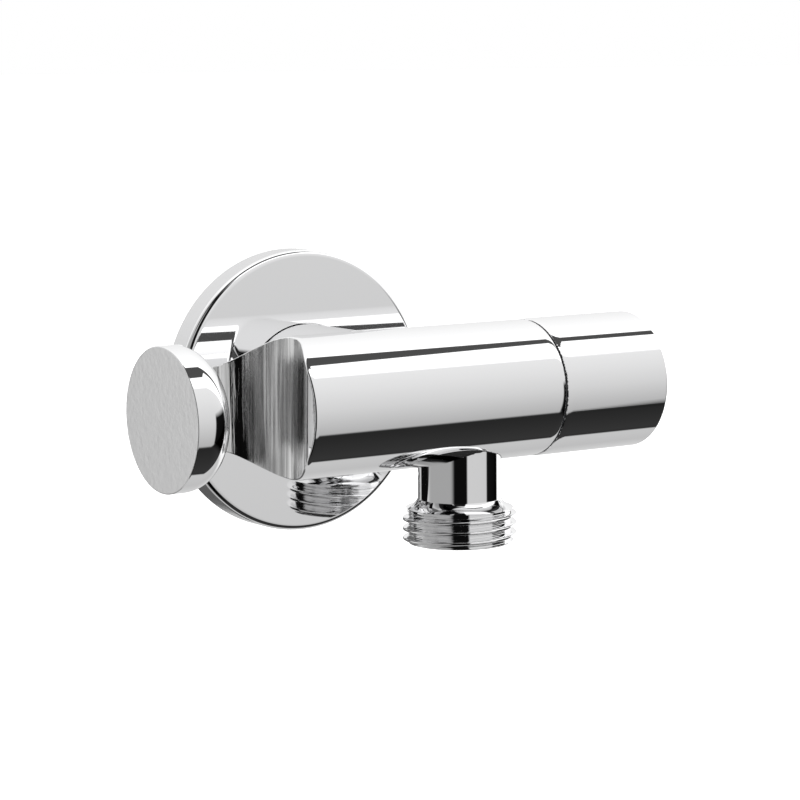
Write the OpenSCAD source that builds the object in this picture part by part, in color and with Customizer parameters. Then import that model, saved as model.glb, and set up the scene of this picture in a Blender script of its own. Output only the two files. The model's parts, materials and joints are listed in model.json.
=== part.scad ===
// Angle stop valve with a hand-shower cradle.
// One round bar lies parallel to the wall: cradle, valve barrel and quarter-turn handle in line.
// The origin is where the inlet's axis meets the wall. +X runs along the bar towards the handle,
// +Y goes into the wall and +Z is up. Sizes are in millimetres.

/* [Bar] */
// Radius of the barrel and the cradle
bar_r = 12.7; // [12.5:0.1:13.5]
// Distance from the wall to the bar's axis
bar_off = 26.5; // [26:0.5:34]
// Flat face of the disc end, from the inlet's axis
bar_left = -41.4; // [-46:0.2:-41]
// Joint between cradle and barrel
barrel_left = -14; // [-14.4:0.1:-13.6]
// End of the barrel under the handle
barrel_right = 35.45; // [35.45:0.05:35.6]
// Small chamfer on turned edges
edge = 0.3; // [0.1:0.1:0.5]

/* [Cradle] */
// Axis of the hand-shower socket, along the bar
socket_x = -26; // [-27:0.2:-25.4]
// How far the socket's axis lies in front of the bar's axis
socket_fwd = 0.4; // [0:0.1:1]
// Radius of the socket at the bar's axis
socket_r = 10.4; // [9.6:0.1:10.6]
// Taper of the socket's wall, in degrees, wider at the top
socket_taper = 1.5; // [0.5:0.25:2]
// Straight side of the disc end
disc_side = 2.6; // [2:0.2:4]
// Radius of the fillet behind the disc end
disc_fillet = 6; // [4:0.5:6]
// Front edge of the right jaw, from the inlet's axis
jaw_x = -18.3; // [-19:0.1:-18]
// Radius of the threaded spigot that screws into the barrel
spigot_r = 6; // [5:0.5:6.5]
// Radius of the locating dowel
dowel_r = 1.25; // [1:0.25:1.5]

/* [Wall flange] */
// Outer radius of the flange
flange_r = 26; // [25:0.2:32]
// Height of the flange's rim
flange_t = 6; // [5.4:0.2:7]
// Rise of the domed face from the rim to the middle
flange_dome = 0.3; // [0.2:0.1:1.2]
// Wall thickness of the flange
flange_wall = 1.6; // [1.2:0.1:2]
// Radius of the neck between the barrel and the flange
neck_r = 12.4; // [12:0.1:12.5]

/* [Threads] */
// Outside radius of a G1/2 male thread
thread_r = 10.4775; // [10.3:0.0025:10.4775]
// Length of the thread that goes into the wall elbow
inlet_thread_l = 12; // [10:0.5:16]

/* [Outlet] */
// Axis of the outlet, from the inlet's axis
outlet_x = 20.4; // [19.6:0.1:20.8]
// Radius of the outlet's neck
outlet_neck_r = 7.65; // [7.6:0.05:7.8]
// Height of the shoulder's upper edge
shoulder_z = -19.4; // [-20.4:0.1:-19]
// Height of the outlet's lower end
outlet_z = -27.4; // [-29:0.1:-27]
// Radius of the mouth, which takes the hose's washer
mouth_r = 7.5; // [7:0.1:7.8]

/* [Handle] */
// Outside radius of the handle
handle_r = 12.8; // [12.7:0.05:13]
// Outer end of the handle, from the inlet's axis
handle_end = 59; // [58:0.5:64]
// Wall thickness of the handle
handle_wall = 1.6; // [1.2:0.1:1.8]

/* [Hidden] */

$fn = 96;
fit = 0.05;           // gap between pieces that are screwed or pushed together
cut = 1;              // how far a cutter runs past the face it opens

// Water ways
way_r = 6;            // inlet bore
chamber_r = 6.5;      // chamber between the inlet bore and the seat
chamber_x0 = -6.7;    // closed end of the chamber
seat_x = 9.5;         // seat for the cartridge's rubber gasket
cage_bore_r = 7.6;    // bore round the cartridge's cage
cage_bore_x1 = 27.6;  // where the cage bore widens to the headwork's thread
head_thread_r = 8.35; // headwork thread, G3/8
head_ring_r = 9.95;   // recess for the headwork's O-ring
head_ring_x0 = 34.1;

// Cradle
disc_x1 = bar_left + disc_side;
disc_neck_r = bar_r - disc_fillet;
spigot_l = 5.6;
dowel_back = 9.6;     // dowel's distance behind the bar's axis
dowel_x0 = -17;
dowel_x1 = -11;

// Flange and its ring
flange_bore_r = neck_r + 0.1;
flange_collar_r = 14.9;
flange_collar_y = -1.5;
flange_edge = 0.7;
flange_steps = 10;
flange_ring_y = -3.7;
flange_ring_w = 0.8;
flange_ring_r = flange_bore_r + fit + flange_ring_w;

// Inlet nipple, seal and strainer
neck_end_y = -2.5;
nipple_spigot_r = 8.35;
nipple_spigot_y = -12.5;
nipple_collar_r = 12;
inlet_ring_r = 9.9;
inlet_ring_w = 0.58;
inlet_ring_y = neck_end_y + inlet_ring_w + fit;
strainer_rim_r = 7.5;
strainer_rim_y0 = 10.6;
strainer_rim_y1 = 11.8;
strainer_r = 5.3;
strainer_wall = 0.8;
strainer_y0 = 1;
strainer_hole_r = 0.8;
strainer_rows = [3.4, 5.6, 7.8];
strainer_holes = 8;

// Outlet nipple
nipple_top_z = -9;
thread_z0 = -21.7;
shoulder_bulge = 0.2; // how far the middle of the shoulder stands out
outlet_tip_r = 9.4;
outlet_chamfer = 0.8;
outlet_way_r = 4.8;
valve_bore_r = 5.9;
valve_bore_z0 = -22.6;
valve_bore_z1 = -10.4;

// Check valve, from its top down
cv_r = valve_bore_r - fit;
cv_in_r = 5;
cv_seat_r = 3.6;
cv_z1 = valve_bore_z1 - fit;
cv_seat_z = -12;
cv_z0 = -22.5;
cv_ring_z = -11.35;
cv_ring_w = 0.5;
cv_seal_r = 4.2;
cv_seal_t = 0.8;
cv_seal_z = cv_seat_z - fit;
cv_head_r = 4.3;
cv_head_z = cv_seal_z - cv_seal_t;
cv_head_t = 1.2;
cv_boss_r = 1.2;
cv_boss_z = -11.2;
cv_stem_r = 1;
cv_stem_z = -20.9;
cv_hub_r = 2.4;
cv_hub_z0 = -22;
cv_hub_z1 = -20.2;
cv_arm_w = 1;
spring_r = 1.85;
spring_wire = 0.25;
spring_turns = 6;
spring_steps = 16;
spring_sides = 6;

// Cartridge, along the bar
cage_r = 7.5;
cage_in_r = 6.5;
cage_x0 = 10.2;
window_x0 = 16.9;
window_x1 = 21.3;
window_w = 7;
gasket_r = 6.3;
gasket_in_r = 4.4;
gasket_x1 = 11.2;
disc_gap = 0.05;
fixed_disc_x0 = gasket_x1 + disc_gap;
fixed_disc_x1 = 14.05;
fixed_disc_r = 6.4;
lug_r = 7.2;
lug_w = 2;
moving_disc_x0 = fixed_disc_x1 + disc_gap;
moving_disc_x1 = 16.6;
moving_disc_r = 6.2;
port_r = 5.2;
port_in_r = 1.6;
port_angle = 76;
fork_w = 2.4;
fork_l = 11;
fork_slot_x = 15.4;
spindle_flange_r = 6.1;
spindle_flange_x0 = 21;
spindle_flange_x1 = 22.4;
washer_x1 = 23.05;
head_x0 = 23.1;
head_low_r = cage_in_r - fit;
hex_x1 = 39.9;
hex_r = 9.8;
nose_r = 6;
nose_x1 = 42;
shaft_r = 4.15;
shaft_bore_r = 4.2;
spindle_rings = [30.5, 33.2];
spindle_ring_w = 0.6;
spindle_ring_r = shaft_r - spindle_ring_w;
groove_w = 1.4;
clip_x0 = 42.1;
clip_x1 = 43;
clip_groove_r = 3.3;
clip_r = 5.6;
clip_gap = 4;
spline_x1 = 52;
spline_r = 3.9;
spline_root_r = 3.5;
spline_teeth = 20;
head_seal_r = 9.25;
head_seal_w = 0.6;
head_seal_x = 34.75;

// Handle
handle_x0 = 35.75;
handle_bore_r = handle_r - handle_wall;
boss_r = 9.9;
boss_x0 = 43.2;
handle_back_t = 1.8;
insert_r = 8;
insert_flats = 14;
insert_x0 = 43.3;
insert_x1 = 52.4;
grub_x = 48;
grub_r = 2;
grub_z0 = -12;
grub_z1 = -4.2;
grub_hex_r = 1.15;
grub_hex_depth = 2;
ring_x0 = 35.5;
ring_x1 = 35.7;
ring_r = 12.45;
ring_in_r = 10.4;

CHROME = [0.80, 0.81, 0.83];
BRASS = [0.80, 0.65, 0.36];
STEEL = [0.62, 0.63, 0.65];
RUBBER = [0.10, 0.10, 0.11];
WHITE = [0.93, 0.93, 0.91];
DARK = [0.16, 0.16, 0.18];
CERAMIC = [0.90, 0.86, 0.80];

// Points of an arc round (a, b), from angle t0 to t1.
function arc(a, b, r, t0, t1, n = 10) =
    [for (i = [0:n]) [a + r * cos(t0 + (t1 - t0) * i / n), b + r * sin(t0 + (t1 - t0) * i / n)]];

// A rod along the bar's axis, and a shape turned about it from points [radius, x].
module bar_rod(x0, x1, r) {
    translate([x0, -bar_off, 0]) rotate([0, 90, 0]) cylinder(h = x1 - x0, r = r);
}

module bar_lathe(points) {
    translate([0, -bar_off, 0]) rotate([0, 90, 0]) rotate_extrude() polygon(points);
}

module bar_torus(x, r, w) {
    translate([x, -bar_off, 0]) rotate([0, 90, 0]) rotate_extrude() translate([r, 0]) circle(r = w, $fn = 32);
}

// A flat outline in the plane across the bar, made x0 to x1 long. Its x axis points down.
module bar_extrude(x0, x1) {
    translate([x0, -bar_off, 0]) rotate([0, 90, 0]) linear_extrude(height = x1 - x0) children();
}

// The same along the inlet's axis, with points [radius, y].
module wall_rod(y0, y1, r) {
    translate([0, y0, 0]) rotate([-90, 0, 0]) cylinder(h = y1 - y0, r = r);
}

module wall_lathe(points) {
    rotate([-90, 0, 0]) rotate_extrude() polygon(points);
}

module wall_torus(y, r, w) {
    translate([0, y, 0]) rotate([-90, 0, 0]) rotate_extrude() translate([r, 0]) circle(r = w, $fn = 32);
}

// The same down the outlet's axis, with points [radius, z].
module drop_rod(z0, z1, r) {
    translate([outlet_x, -bar_off, z0]) cylinder(h = z1 - z0, r = r);
}

module drop_lathe(points) {
    translate([outlet_x, -bar_off, 0]) rotate_extrude() polygon(points);
}

// Barrel and wall neck in one casting, drilled for the inlet, the cartridge and the outlet.
module valve_body() {
    color(CHROME) difference() {
        union() {
            bar_rod(barrel_left, barrel_right, bar_r);
            wall_rod(-bar_off, neck_end_y, neck_r);
        }
        bar_rod(barrel_left - cut, barrel_left + spigot_l + fit, spigot_r + fit);
        bar_rod(chamber_x0, seat_x + cut, chamber_r);
        bar_rod(seat_x, cage_bore_x1 + cut, cage_bore_r);
        bar_rod(cage_bore_x1, head_ring_x0 + cut, head_thread_r + fit);
        bar_rod(head_ring_x0, barrel_right + cut, head_ring_r);
        wall_rod(-bar_off, neck_end_y + cut, way_r);
        wall_rod(nipple_spigot_y - fit, neck_end_y + cut, nipple_spigot_r + fit);
        drop_rod(-bar_r - cut, nipple_top_z, outlet_neck_r + fit);
        drop_rod(-bar_r, -cage_bore_r / 2, outlet_way_r);
        translate([dowel_x0, dowel_back - bar_off, 0]) rotate([0, 90, 0])
            cylinder(h = dowel_x1 - dowel_x0 + fit, r = dowel_r + fit);
    }
}

// Socket for the hand shower: a tapered hole, wider at the top.
module socket_cutter() {
    reach = bar_r + cut;
    spread = reach * tan(socket_taper);
    translate([socket_x, -bar_off - socket_fwd, -reach])
        cylinder(h = 2 * reach, r1 = socket_r - spread, r2 = socket_r + spread);
}

// C-shaped cradle: filleted disc end, back half of the bar behind the socket, and the right jaw.
module shower_cradle() {
    disc = concat([[0, bar_left], [bar_r - edge, bar_left], [bar_r, bar_left + edge]],
        arc(disc_neck_r, disc_x1, disc_fillet, 0, 90), [[0, disc_x1 + disc_fillet]]);
    color(CHROME) difference() {
        union() {
            bar_lathe(disc);
            intersection() {
                bar_rod(disc_x1, barrel_left, bar_r);
                translate([disc_x1, -bar_off, -bar_r - cut])
                    cube([barrel_left - disc_x1, bar_r + cut, 2 * (bar_r + cut)]);
            }
            bar_rod(jaw_x, barrel_left, bar_r);
            bar_rod(barrel_left - cut, barrel_left + spigot_l, spigot_r);
        }
        socket_cutter();
        translate([dowel_x0, dowel_back - bar_off, 0]) rotate([0, 90, 0])
            cylinder(h = dowel_x1 - dowel_x0, r = dowel_r + fit);
    }
}

module cradle_dowel() {
    color(STEEL) translate([dowel_x0 + fit, dowel_back - bar_off, 0]) rotate([0, 90, 0])
        cylinder(h = dowel_x1 - dowel_x0 - fit, r = dowel_r);
}

// Cover plate: a hollow, slightly domed cap with a collar that slides over the neck.
module wall_flange() {
    face_y = -flange_t;
    function dome_y(r) = face_y - flange_dome * (1 - pow(r / flange_r, 2));
    rim_in_r = flange_r - flange_wall;
    span = flange_r - flange_edge - flange_bore_r;
    dome = [for (i = [0:flange_steps]) let (r = flange_bore_r + span * i / flange_steps) [r, dome_y(r)]];
    outline = concat([[flange_bore_r, flange_collar_y]], dome,
        [[flange_r, face_y + flange_edge], [flange_r, 0], [rim_in_r, 0], [rim_in_r, face_y + flange_wall],
        [flange_collar_r, face_y + flange_wall - flange_dome / 2], [flange_collar_r, flange_collar_y]]);
    color(CHROME) difference() {
        wall_lathe(outline);
        wall_rod(flange_ring_y - flange_ring_w - fit, flange_ring_y + flange_ring_w + fit,
            flange_ring_r + flange_ring_w + fit);
    }
}

module flange_o_ring() {
    color(RUBBER) wall_torus(flange_ring_y, flange_ring_r, flange_ring_w);
}

// Male nipple: a spigot screwed into the neck, a collar and the G1/2 thread for the wall elbow.
module inlet_nipple() {
    groove_r = inlet_ring_r + inlet_ring_w + fit;
    groove_in_r = inlet_ring_r - inlet_ring_w - fit;
    groove_y = neck_end_y + 2 * inlet_ring_w + 2 * fit;
    color(BRASS) wall_lathe([[way_r, nipple_spigot_y], [nipple_spigot_r, nipple_spigot_y],
        [nipple_spigot_r, neck_end_y], [groove_in_r, neck_end_y], [groove_in_r, groove_y],
        [groove_r, groove_y], [groove_r, neck_end_y], [nipple_collar_r, neck_end_y],
        [nipple_collar_r, 0], [thread_r, 0], [thread_r, inlet_thread_l],
        [strainer_rim_r + fit, inlet_thread_l], [strainer_rim_r + fit, strainer_rim_y0],
        [way_r, strainer_rim_y0]]);
}

module inlet_o_ring() {
    color(RUBBER) wall_torus(inlet_ring_y, inlet_ring_r, inlet_ring_w);
}

// Sieve cup that keeps grit out of the ceramic discs.
module inlet_strainer() {
    inner_r = strainer_r - strainer_wall;
    color(STEEL) difference() {
        wall_lathe([[0, strainer_y0], [strainer_r, strainer_y0], [strainer_r, strainer_rim_y0],
            [strainer_rim_r, strainer_rim_y0], [strainer_rim_r, strainer_rim_y1],
            [inner_r, strainer_rim_y1], [inner_r, strainer_y0 + strainer_wall],
            [0, strainer_y0 + strainer_wall]]);
        for (y = strainer_rows, i = [0:strainer_holes / 2 - 1])
            translate([0, y, 0]) rotate([0, i * 360 / strainer_holes, 0])
                cylinder(h = 2 * (strainer_r + cut), r = strainer_hole_r, center = true, $fn = 16);
    }
}

// Turned nipple let into the barrel: neck, bulging shoulder and G1/2 thread for the hose.
module outlet_nipple() {
    middle = [(outlet_neck_r + thread_r) / 2 + shoulder_bulge, (shoulder_z + thread_z0) / 2 + shoulder_bulge];
    color(CHROME) drop_lathe([[outlet_way_r, nipple_top_z], [outlet_neck_r, nipple_top_z],
        [outlet_neck_r, shoulder_z], middle, [thread_r, thread_z0],
        [thread_r, outlet_z + outlet_chamfer], [outlet_tip_r, outlet_z], [mouth_r, outlet_z],
        [mouth_r, valve_bore_z0], [valve_bore_r, valve_bore_z0], [valve_bore_r, valve_bore_z1],
        [outlet_way_r, valve_bore_z1]]);
}

// Plastic tube with a seat ring at the top and a three-armed guide at the bottom.
module check_valve_housing() {
    color(WHITE) {
        difference() {
            drop_lathe([[cv_seat_r, cv_seat_z], [cv_in_r, cv_seat_z], [cv_in_r, cv_z0], [cv_r, cv_z0],
                [cv_r, cv_z1], [cv_seat_r, cv_z1]]);
            difference() {
                drop_rod(cv_ring_z - cv_ring_w - fit, cv_ring_z + cv_ring_w + fit, cv_r + cut);
                drop_rod(cv_ring_z - cut, cv_ring_z + cut, cv_r - 2 * cv_ring_w - fit);
            }
        }
        difference() {
            hub_h = cv_hub_z1 - cv_hub_z0;
            union() {
                drop_rod(cv_hub_z0, cv_hub_z1, cv_hub_r);
                for (turn = [0:120:240])
                    translate([outlet_x, -bar_off, cv_hub_z0]) rotate([0, 0, turn])
                        translate([0, -cv_arm_w / 2, 0]) cube([cv_in_r + fit, cv_arm_w, hub_h]);
            }
            drop_rod(cv_hub_z0 - cut, cv_hub_z1 + cut, cv_stem_r + fit);
        }
    }
}

module check_valve_o_ring() {
    color(RUBBER) translate([outlet_x, -bar_off, cv_ring_z]) rotate_extrude()
        translate([cv_r - cv_ring_w, 0]) circle(r = cv_ring_w, $fn = 32);
}

module check_valve_poppet() {
    color(WHITE) drop_lathe([[0, cv_boss_z], [cv_boss_r, cv_boss_z], [cv_boss_r, cv_head_z],
        [cv_head_r, cv_head_z], [cv_head_r, cv_head_z - cv_head_t], [cv_stem_r, cv_head_z - cv_head_t],
        [cv_stem_r, cv_stem_z], [0, cv_stem_z]]);
}

module check_valve_seal() {
    color(RUBBER) drop_lathe([[cv_boss_r + fit, cv_seal_z], [cv_seal_r, cv_seal_z],
        [cv_seal_r, cv_seal_z - cv_seal_t], [cv_boss_r + fit, cv_seal_z - cv_seal_t]]);
}

// Coil spring between the poppet's head and the guide, swept along its helix.
module check_valve_spring() {
    z1 = cv_head_z - cv_head_t - spring_wire - fit;
    z0 = cv_hub_z1 + spring_wire + fit;
    rings = spring_turns * spring_steps;
    points = [for (i = [0:rings], j = [0:spring_sides - 1])
        let (turn = 360 * i / spring_steps, side = 360 * j / spring_sides,
            r = spring_r + spring_wire * cos(side),
            z = z0 + (z1 - z0) * i / rings + spring_wire * sin(side))
        [r * cos(turn), r * sin(turn), z]];
    walls = [for (i = [0:rings - 1], j = [0:spring_sides - 1])
        let (k = (j + 1) % spring_sides)
        [i * spring_sides + j, i * spring_sides + k, (i + 1) * spring_sides + k, (i + 1) * spring_sides + j]];
    first = [for (j = [spring_sides - 1:-1:0]) j];
    last = [for (j = [0:spring_sides - 1]) rings * spring_sides + j];
    color(STEEL) translate([outlet_x, -bar_off, 0])
        polyhedron(points = points, faces = concat(walls, [first], [last]));
}

// Headwork: thread, hexagon and nose round the spindle's bore.
module cartridge_body() {
    color(BRASS) difference() {
        union() {
            bar_rod(head_x0, cage_bore_x1 + fit, head_low_r);
            bar_rod(cage_bore_x1 + fit, barrel_right, head_thread_r);
            bar_extrude(barrel_right, hex_x1) circle(r = hex_r, $fn = 6);
            bar_rod(hex_x1, nose_x1, nose_r);
        }
        bar_rod(head_x0 - cut, nose_x1 + cut, shaft_bore_r);
    }
}

// Slotted sleeve: two slots hold the fixed disc's lugs and four windows let the water out.
module cartridge_cage() {
    slot = lug_w + 2 * fit;
    color(BRASS) difference() {
        bar_rod(cage_x0, cage_bore_x1 - fit, cage_r);
        bar_rod(cage_x0 - cut, cage_bore_x1 + cut, cage_in_r);
        bar_extrude(cage_x0 - cut, fixed_disc_x1 + fit) square([2 * bar_r, slot], center = true);
        for (turn = [0, 90])
            bar_extrude(window_x0, window_x1) rotate(turn) square([2 * bar_r, window_w], center = true);
    }
}

module cartridge_o_ring() {
    color(RUBBER) bar_torus(head_seal_x, head_seal_r, head_seal_w);
}

module seat_gasket() {
    color(RUBBER) difference() {
        bar_rod(seat_x, gasket_x1, gasket_r);
        bar_rod(seat_x - cut, gasket_x1 + cut, gasket_in_r);
    }
}

// Two opposite sector ports, centred on the outline's y axis.
module ports() {
    far = 2 * port_r;
    half = port_angle / 2;
    difference() {
        intersection() {
            circle(r = port_r);
            union() for (turn = [90, 270]) rotate(turn)
                polygon([[0, 0], [far * cos(half), -far * sin(half)], [far * cos(half), far * sin(half)]]);
        }
        circle(r = port_in_r);
    }
}

module fixed_disc() {
    color(CERAMIC) bar_extrude(fixed_disc_x0, fixed_disc_x1) difference() {
        union() {
            circle(r = fixed_disc_r);
            square([2 * lug_r, lug_w], center = true);
        }
        ports();
    }
}

// The turning disc is closed at rest: its ports stand a quarter turn from the fixed disc's.
module moving_disc() {
    color(CERAMIC) difference() {
        bar_extrude(moving_disc_x0, moving_disc_x1) difference() {
            circle(r = moving_disc_r);
            rotate(90) ports();
        }
        bar_extrude(fork_slot_x, moving_disc_x1 + cut)
            square([fork_w + 2 * fit, 2 * bar_r], center = true);
    }
}

// Teeth of the spindle's splined head, grown by gap.
module spline(gap) {
    polygon([for (i = [0:2 * spline_teeth - 1])
        let (r = gap + (i % 2 == 0 ? spline_r : spline_root_r), turn = 180 * i / spline_teeth)
        [r * cos(turn), r * sin(turn)]]);
}

module spindle() {
    groove_r = spindle_ring_r - spindle_ring_w - fit;
    color(BRASS) {
        bar_extrude(fork_slot_x + fit, spindle_flange_x0) square([fork_w, fork_l], center = true);
        bar_rod(spindle_flange_x0, spindle_flange_x1, spindle_flange_r);
        difference() {
            bar_rod(spindle_flange_x1, clip_x0, shaft_r);
            for (x = spindle_rings) difference() {
                bar_rod(x - groove_w / 2, x + groove_w / 2, shaft_r + cut);
                bar_rod(x - groove_w, x + groove_w, groove_r);
            }
        }
        bar_rod(clip_x0, clip_x1, clip_groove_r);
        bar_extrude(clip_x1, spline_x1) spline(0);
    }
}

module spindle_o_rings() {
    color(RUBBER) for (x = spindle_rings) bar_torus(x, spindle_ring_r, spindle_ring_w);
}

module thrust_washer() {
    color(WHITE) difference() {
        bar_rod(spindle_flange_x1 + fit, washer_x1, spindle_flange_r);
        bar_rod(spindle_flange_x1 - cut, washer_x1 + cut, shaft_bore_r);
    }
}

// Open retaining ring in the spindle's groove.
module spindle_circlip() {
    color(STEEL) bar_extrude(clip_x0 + fit, clip_x1 - fit) difference() {
        circle(r = clip_r);
        circle(r = clip_groove_r + fit);
        translate([0, -clip_gap / 2]) square([bar_r, clip_gap]);
    }
}

module glide_ring() {
    color(DARK) difference() {
        bar_rod(ring_x0, ring_x1, ring_r);
        bar_rod(ring_x0 - cut, ring_x1 + cut, ring_in_r);
    }
}

// Outline of the insert, round with two flats, grown by gap.
module insert_outline(gap) {
    intersection() {
        circle(r = insert_r + gap);
        square([insert_flats + 2 * gap, 2 * bar_r], center = true);
    }
}

// Radial hole for the grub screw, from below.
module grub_hole() {
    translate([grub_x, -bar_off, -bar_r - cut]) cylinder(h = bar_r, r = grub_r + fit, $fn = 48);
}

// Cup-shaped handle with an inner boss for the insert.
module handle_shell() {
    back_x = handle_end - handle_back_t;
    color(CHROME) difference() {
        bar_lathe([[handle_bore_r, handle_x0], [handle_r - edge / 2, handle_x0],
            [handle_r, handle_x0 + edge / 2], [handle_r, handle_end - edge],
            [handle_r - edge, handle_end], [0, handle_end], [0, back_x], [spline_r, back_x],
            [spline_r, insert_x1 + fit], [insert_r / 2, insert_x1 + fit], [insert_r / 2, boss_x0],
            [boss_r, boss_x0], [boss_r, back_x], [handle_bore_r, back_x]]);
        bar_extrude(boss_x0 - cut, insert_x1 + fit) insert_outline(fit);
        grub_hole();
    }
}

module handle_insert() {
    color(DARK) difference() {
        bar_extrude(insert_x0, insert_x1) insert_outline(0);
        bar_extrude(insert_x0 - cut, insert_x1 + cut) spline(fit);
        grub_hole();
    }
}

module handle_grub_screw() {
    color(STEEL) difference() {
        translate([grub_x, -bar_off, grub_z0]) cylinder(h = grub_z1 - grub_z0, r = grub_r, $fn = 48);
        translate([grub_x, -bar_off, grub_z0 - cut])
            cylinder(h = grub_hex_depth + cut, r = grub_hex_r, $fn = 6);
    }
}

valve_body();
shower_cradle();
cradle_dowel();
wall_flange();
flange_o_ring();
inlet_nipple();
inlet_o_ring();
inlet_strainer();
outlet_nipple();
check_valve_housing();
check_valve_o_ring();
check_valve_poppet();
check_valve_seal();
check_valve_spring();
cartridge_body();
cartridge_cage();
cartridge_o_ring();
seat_gasket();
fixed_disc();
moving_disc();
spindle();
spindle_o_rings();
thrust_washer();
spindle_circlip();
glide_ring();
handle_shell();
handle_insert();
handle_grub_screw();
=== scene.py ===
"""Looks of the angle stop valve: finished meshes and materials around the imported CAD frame.

Lengths inside the mesh helpers are millimetres in the CAD's frame; make_object() writes metres.
"""
import json
import math

import bmesh
import bpy
import numpy as np
from mathutils import Matrix, Vector


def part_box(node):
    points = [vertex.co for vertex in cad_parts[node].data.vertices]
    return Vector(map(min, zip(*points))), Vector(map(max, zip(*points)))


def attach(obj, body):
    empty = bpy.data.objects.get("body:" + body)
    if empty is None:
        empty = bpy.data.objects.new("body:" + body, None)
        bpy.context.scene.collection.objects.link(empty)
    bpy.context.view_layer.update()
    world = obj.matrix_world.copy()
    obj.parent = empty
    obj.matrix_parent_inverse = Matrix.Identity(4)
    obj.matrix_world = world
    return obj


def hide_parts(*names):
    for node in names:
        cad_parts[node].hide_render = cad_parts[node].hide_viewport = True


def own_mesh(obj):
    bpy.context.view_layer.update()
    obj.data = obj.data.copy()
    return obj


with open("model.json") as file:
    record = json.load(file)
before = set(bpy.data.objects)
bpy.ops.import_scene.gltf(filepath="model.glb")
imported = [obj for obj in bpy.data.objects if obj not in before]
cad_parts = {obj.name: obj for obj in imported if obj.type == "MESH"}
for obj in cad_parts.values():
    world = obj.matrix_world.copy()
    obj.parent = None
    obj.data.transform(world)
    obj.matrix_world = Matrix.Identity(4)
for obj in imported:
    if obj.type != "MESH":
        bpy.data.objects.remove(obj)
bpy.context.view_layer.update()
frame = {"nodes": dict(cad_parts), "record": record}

MM = 0.001


# ---------------------------------------------------------------- sizes from the frame

def low_high(node):
    """A node's lowest and highest corner in millimetres."""
    low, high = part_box(node)
    return np.array(low) / MM, np.array(high) / MM


def mount(name):
    """A mount of the frame's record."""
    return next(m for m in frame["record"]["mounts"] if m["name"] == name)


body_low, body_high = low_high("valve_body")
cradle_low, cradle_high = low_high("shower_cradle")
flange_low, flange_high = low_high("wall_flange")
handle_low, handle_high = low_high("handle_shell")
outlet_low, outlet_high = low_high("outlet_nipple")
check_low, check_high = low_high("check_valve_housing")

BAR_Y = (handle_low[1] + handle_high[1]) / 2
BAR_R = body_high[2]
HANDLE_R = handle_high[2]
FLANGE_R = flange_high[2]
SOCKET = np.array(mount("hand_shower_socket")["pos_m"]) / MM
OUTLET = np.array(mount("outlet_thread")["pos_m"]) / MM
THREAD_R = mount("outlet_thread")["dims"]["r_mm"]
THREAD_TOP = OUTLET[2] + mount("outlet_thread")["dims"]["length_mm"] / 2


# ---------------------------------------------------------------- mesh helpers

def make_object(name, points, faces, normals=None):
    """A smooth mesh object from points in millimetres, with a normal for each point if given."""
    mesh = bpy.data.meshes.new(name)
    mesh.from_pydata((np.asarray(points) * MM).tolist(), [], faces)
    mesh.validate()
    mesh.polygons.foreach_set("use_smooth", [True] * len(mesh.polygons))
    if normals is not None:
        mesh.normals_split_custom_set_from_vertices(np.asarray(normals).tolist())
    mesh.update()
    thing = bpy.data.objects.new(name, mesh)
    bpy.context.scene.collection.objects.link(thing)
    return thing


def rise_of(points, distance, gap=0.004):
    """Gradient of the distance field at each point."""
    rise = np.empty_like(points)
    for axis in range(3):
        shift = np.zeros(3)
        shift[axis] = gap
        rise[:, axis] = distance(*(points + shift).T) - distance(*(points - shift).T)
    return rise / (2 * gap)


def pin_to_zero(points, distance, rounds=6, reach=0.3):
    """Moves points along the distance field's slope until they lie on its surface."""
    for _ in range(rounds):
        rise = rise_of(points, distance)
        steep = np.maximum((rise ** 2).sum(axis=1), 1e-4)
        step = np.clip(distance(*points.T) / np.sqrt(steep), -reach, reach)
        points = points - rise * (step / np.sqrt(steep))[:, None]
    return points


def slope_of(points, distance):
    """Unit direction in which the distance field grows at each point."""
    rise = rise_of(points, distance)
    return rise / np.maximum(np.linalg.norm(rise, axis=1), 1e-9)[:, None]


def ticks(*stretches):
    """Grid lines along one axis from (start, end, spacing) stretches laid end to end."""
    return np.concatenate([np.arange(a, b - step / 2, step) for a, b, step in stretches])


def skin(distance, *axes):
    """Points and quads on the surface where distance(x, y, z) is zero, one point per grid cell."""
    grid = np.meshgrid(*axes, indexing="ij")
    value = distance(*grid)
    inside = value < 0
    cells = tuple(n - 1 for n in value.shape)
    total = np.zeros(cells + (3,))
    count = np.zeros(cells)
    quads = []
    for axis in range(3):
        others = [a for a in range(3) if a != axis]
        head = [slice(None)] * 3
        tail = [slice(None)] * 3
        head[axis] = slice(0, -1)
        tail[axis] = slice(1, None)
        start, end = value[tuple(head)], value[tuple(tail)]
        crossed = np.argwhere(inside[tuple(head)] != inside[tuple(tail)])
        a = start[tuple(crossed.T)]
        b = end[tuple(crossed.T)]
        place = np.stack([axes[k][crossed[:, k]] for k in range(3)], axis=1)
        place[:, axis] += np.diff(axes[axis])[crossed[:, axis]] * a / (a - b)
        ring = []
        for du, dv in ((0, 0), (1, 0), (1, 1), (0, 1)):
            cell = crossed.copy()
            cell[:, others[0]] -= du
            cell[:, others[1]] -= dv
            np.add.at(total, tuple(cell.T), place)
            np.add.at(count, tuple(cell.T), 1)
            ring.append(cell)
        ring = np.stack(ring, axis=1)
        outward = (a < 0) != (axis == 1)
        quads.append(np.where(outward[:, None, None], ring[:, ::-1], ring))
    quads = np.concatenate(quads)
    used = np.argwhere(count > 0)
    number = -np.ones(cells, int)
    number[tuple(used.T)] = np.arange(len(used))
    points = total[tuple(used.T)] / count[tuple(used.T)][:, None]
    faces = number[quads[..., 0], quads[..., 1], quads[..., 2]]
    return pin_to_zero(points, distance), faces


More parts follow.
